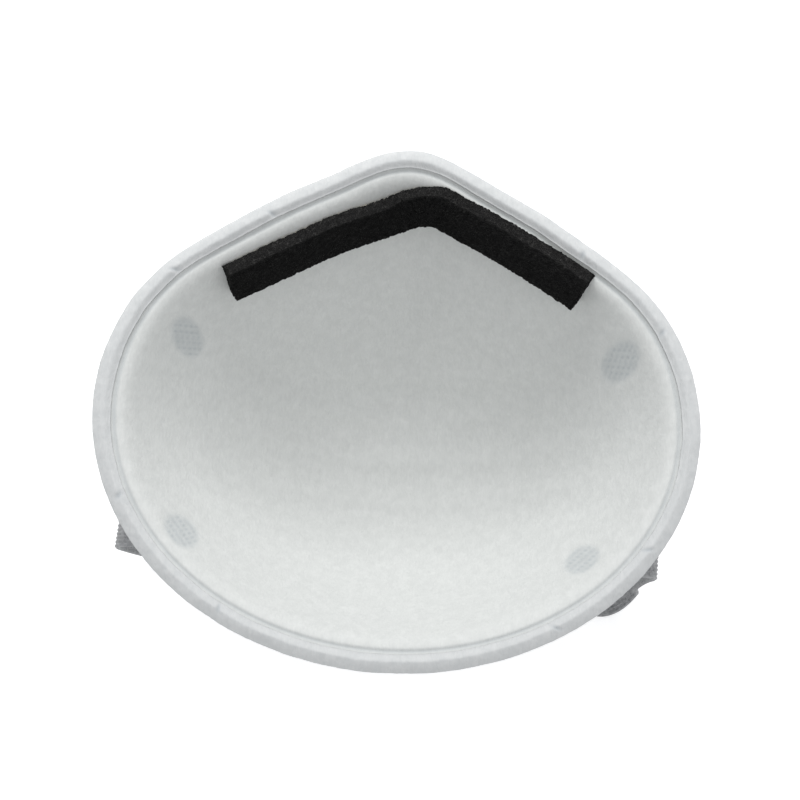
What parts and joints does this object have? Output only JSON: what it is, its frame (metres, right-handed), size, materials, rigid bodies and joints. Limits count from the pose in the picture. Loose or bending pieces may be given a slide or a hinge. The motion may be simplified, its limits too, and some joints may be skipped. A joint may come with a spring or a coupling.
{
  "type": "disposable dust mask",
  "caption": "Moulded-cup dust mask with layered felt wall, folded rim hem, foam nose strip, aluminium nose clip and elastic head straps.",
  "frame": {"origin": "on the table under the middle of the mask's outline, the mask lying on its blunt front", "axes": "+Z out of the cup towards the wearer's face, +Y towards the bridge of the nose, +X across the cheeks"},
  "size_m": [0.1404, 0.1222, 0.0526],
  "materials": {
    "cover_felt": "soft spunbonded felt",
    "filter_web": "fine blown web",
    "shell_felt": "heat-formed felt",
    "liner_felt": "smooth felt",
    "clip_aluminium": "dull rolled",
    "adhesive_tape": "thin double-sided tape",
    "black_foam": "open-cell foam",
    "grey_elastic": "ribbed elastic"
  },
  "bodies": {
    "mask_body": {"outer_cover": "cover_felt", "filter_web_outer": "filter_web", "filter_web_inner": "filter_web", "moulded_shell": "shell_felt", "inner_liner": "liner_felt", "nose_clip": "clip_aluminium", "nose_clip_adhesive": "adhesive_tape", "nose_foam": "black_foam", "nose_foam_adhesive": "adhesive_tape", "head_strap_tab_left": "grey_elastic", "head_strap_tab_right": "grey_elastic", "neck_strap_tab_left": "grey_elastic", "neck_strap_tab_right": "grey_elastic"},
    "head_loop": {"head_strap": "grey_elastic"},
    "neck_loop": {"neck_strap": "grey_elastic"}
  },
  "joints": [
    {"name": "head_strap_swing", "type": "hinge", "parent": "mask_body", "child": "head_loop", "pos_m": [0, 0.01525, 0.034], "axis": [1, 0, 0], "range_deg": [0, 125]},
    {"name": "neck_strap_swing", "type": "hinge", "parent": "mask_body", "child": "neck_loop", "pos_m": [0, -0.03105, 0.0326], "axis": [-1, 0, 0], "range_deg": [0, 155]}
  ]
}
